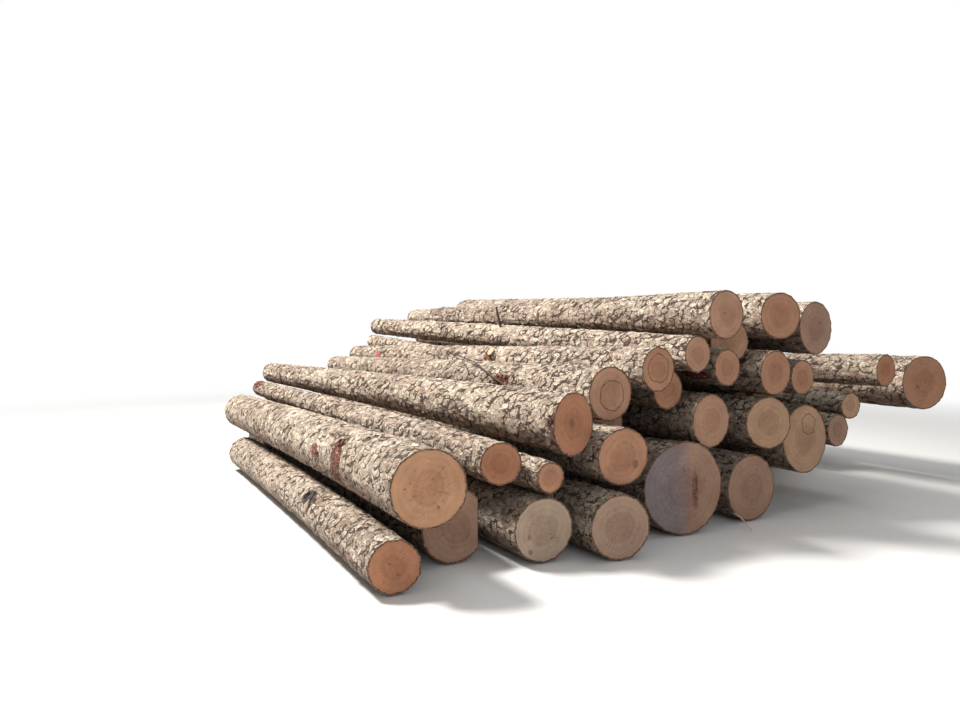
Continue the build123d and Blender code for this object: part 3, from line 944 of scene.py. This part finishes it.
def sawn_material(name, rings, face_marks):
    """Freshly sawn wood in each face's own tint, with its rings, cracks, knots and rift."""
    material, tree, read = log_material(name)
    place = read("from_heart", "Vector")
    face = use_group(tree, rings, {"Place": place, "Radius": read("log_radius")})
    blotch = noise(tree, place, 7.0, 4.0, 0.6)
    fibre = noise(tree, place, 160.0, 3.0, 0.7)
    aside = summed(tree, parts_of(tree, place)[0], (noise(tree, place, 12.0, 4.0), 0.16))
    # The felled log's left plane is tinted slate grey, more strongly towards its left edge
    slate = times(tree, between(tree, aside, 0.14, -0.02, 0.30, 0.95), read("slate_plane"))
    colour = blended(tree, slate, read("sawn_tint", "Color"), SLATE)
    for share, cast in ((times(tree, face["Heart"], 0.32), HEART_STAIN),
                        (between(tree, blotch, 0.45, 0.72, 0.0, 0.5), DARK_BLOTCH),
                        (between(tree, blotch, 0.5, 0.28, 0.0, 0.45), PALE_BLOTCH),
                        (times(tree, face["Rings"], 0.38), LATE_WOOD),
                        (between(tree, fibre, 0.3, 0.7, 0.0, 0.25), SAWN_FIBRE)):
        colour = blended(tree, share, colour, cast, how="MULTIPLY")
    colour = blended(tree, times(tree, face["Cracks"], 0.75), colour, DRY_CRACK)
    for title in KNOT_MARKS:
        knot = use_group(tree, face_marks, {"Place": place, "Mark": read(title, "Vector")})["Knot"]
        colour = blended(tree, times(tree, knot, 0.62), colour, KNOT_BROWN)
    line = use_group(tree, face_marks, {"Place": place, "Mark": read("ring_mark", "Vector")})
    line = times(tree, line["Line"], between(tree, fibre, 0.2, 0.6, 0.55, 0.95))
    colour = blended(tree, line, colour, KNOT_BROWN)
    rift = use_group(tree, face_marks, {"Place": place, "Mark": read("rift_mark", "Vector"),
                                        "Tall": 5.0})["Knot"]
    rift = times(tree, rift, between(tree, noise(tree, place, 30.0), 0.35, 0.6, 0.2, 0.85))
    colour = blended(tree, rift, colour, RIFT_DARK)
    height = summed(tree, times(tree, face["Saw Marks"], 0.12), (fibre, 0.35),
                    (face["Cracks"], -0.9))
    finish(material, colour, between(tree, fibre, 0.2, 0.8, 0.68, 0.85), height, 0.6, 0.003)
    tree.nodes["Principled BSDF"].inputs["Specular IOR Level"].default_value = 0.3
    return material


def cut_bark_material(name, scales):
    """Bark cut across, in thin dark layers."""
    material, tree, read = log_material(name)
    layers = use_group(tree, scales, {"Place": read("from_heart", "Vector"), "Plate Size": 0.009,
                                      "Crack Width": 0.2})
    colour = shaded(tree, layers["Tone"], *CUT_BARK_COLOURS)
    return finish(material, colour, 0.9, layers["Height"], 0.9, 0.004)


def twig_material(name, dark, light):
    """The grain of a thin stick of wood, from dark to light."""
    material, tree, read = log_material(name)
    grain = noise(tree, read("from_heart", "Vector"), 90.0, 3.0, 0.7)
    finish(material, shaded(tree, grain, (0.3, dark), (0.7, light)), 0.85, grain, 0.5, 0.003)


bark_scales = bark_scale_group()
bark = bark_material("pine_bark", bark_scales, flaking_group())
sawn_wood = sawn_material("sawn_wood", wood_rings_group(), face_mark_group())
bark_rim = cut_bark_material("cut_bark", bark_scales)
twig_material("dead_twig", (0.020, 0.012, 0.010), (0.075, 0.045, 0.034))
twig_material("split_wood", (0.42, 0.30, 0.20), (0.72, 0.60, 0.46))

flake_pattern = bark_flake()
lines = {name: LogLine(name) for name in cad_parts}
for name in sorted(lines):
    make_log(name, lines, (bark, sawn_wood, bark_rim))

for helper in (plate_space, flake_space, flake_pattern):
    bpy.data.objects.remove(helper)


def seen_as_background(tree):
    """One for the rays that show the white background, straight, mirrored or through."""
    paths = add_node(tree, "ShaderNodeLightPath").outputs
    return largest(tree, paths["Is Camera Ray"], paths["Is Glossy Ray"],
                   paths["Is Transmission Ray"])


def pale_floor():
    """Pale ground round the pile that fades into the white background."""
    material = bpy.data.materials.new("pale_floor")
    material.use_nodes = True
    tree = material.node_tree
    shader, out = tree.nodes["Principled BSDF"], tree.nodes["Material Output"]
    shader.inputs["Base Color"].default_value = (*FLOOR_GREY, 1.0)
    shader.inputs["Roughness"].default_value = 0.9
    away = length_of(tree, add_node(tree, "ShaderNodeTexCoord").outputs["Object"])
    seen = times(tree, between(tree, away, *FLOOR_FADE), seen_as_background(tree))
    white = add_node(tree, "ShaderNodeEmission", {"Color": (1.0, 1.0, 1.0, 1.0), "Strength": 1.0})
    feeds = {0: seen, 1: shader.outputs[0], 2: white.outputs[0]}
    mix = add_node(tree, "ShaderNodeMixShader", feeds)
    tree.links.new(mix.outputs[0], out.inputs["Surface"])
    return material


def floor_and_light():
    """The floor, the white world and the soft studio lamps."""
    bpy.ops.object.select_all(action="DESELECT")
    bpy.ops.mesh.primitive_plane_add(size=FLOOR_SIZE)
    floor = bpy.context.object
    floor.name = "floor"
    floor.data.materials.append(pale_floor())
    world = bpy.data.worlds.new("studio")
    bpy.context.scene.world = world
    world.use_nodes = True
    tree, background = world.node_tree, world.node_tree.nodes["Background"]
    strength = between(tree, seen_as_background(tree), 0.0, 1.0, WORLD_LIGHT, 1.0)
    tree.links.new(strength, background.inputs["Strength"])
    background.inputs["Color"].default_value = (1.0, 1.0, 1.0, 1.0)
    for name, place, size, power, colour in STUDIO_LAMPS:
        bpy.ops.object.light_add(type="AREA", location=place)
        lamp = bpy.context.object
        lamp.name = name
        lamp.data.size, lamp.data.energy, lamp.data.color = size, power, colour
        aim = Vector(LIT_PLACE) - Vector(place)
        lamp.rotation_euler = aim.to_track_quat("-Z", "Y").to_euler()


floor_and_light()
bpy.ops.object.camera_add(location=CAMERA_PLACE, rotation=(CAMERA_TILT, 0.0, CAMERA_TURN))
camera = bpy.context.object
camera.data.lens = LENS
camera.data.sensor_width = FILM_WIDTH
bpy.context.scene.camera = camera
bpy.context.scene.view_settings.view_transform = "Standard"
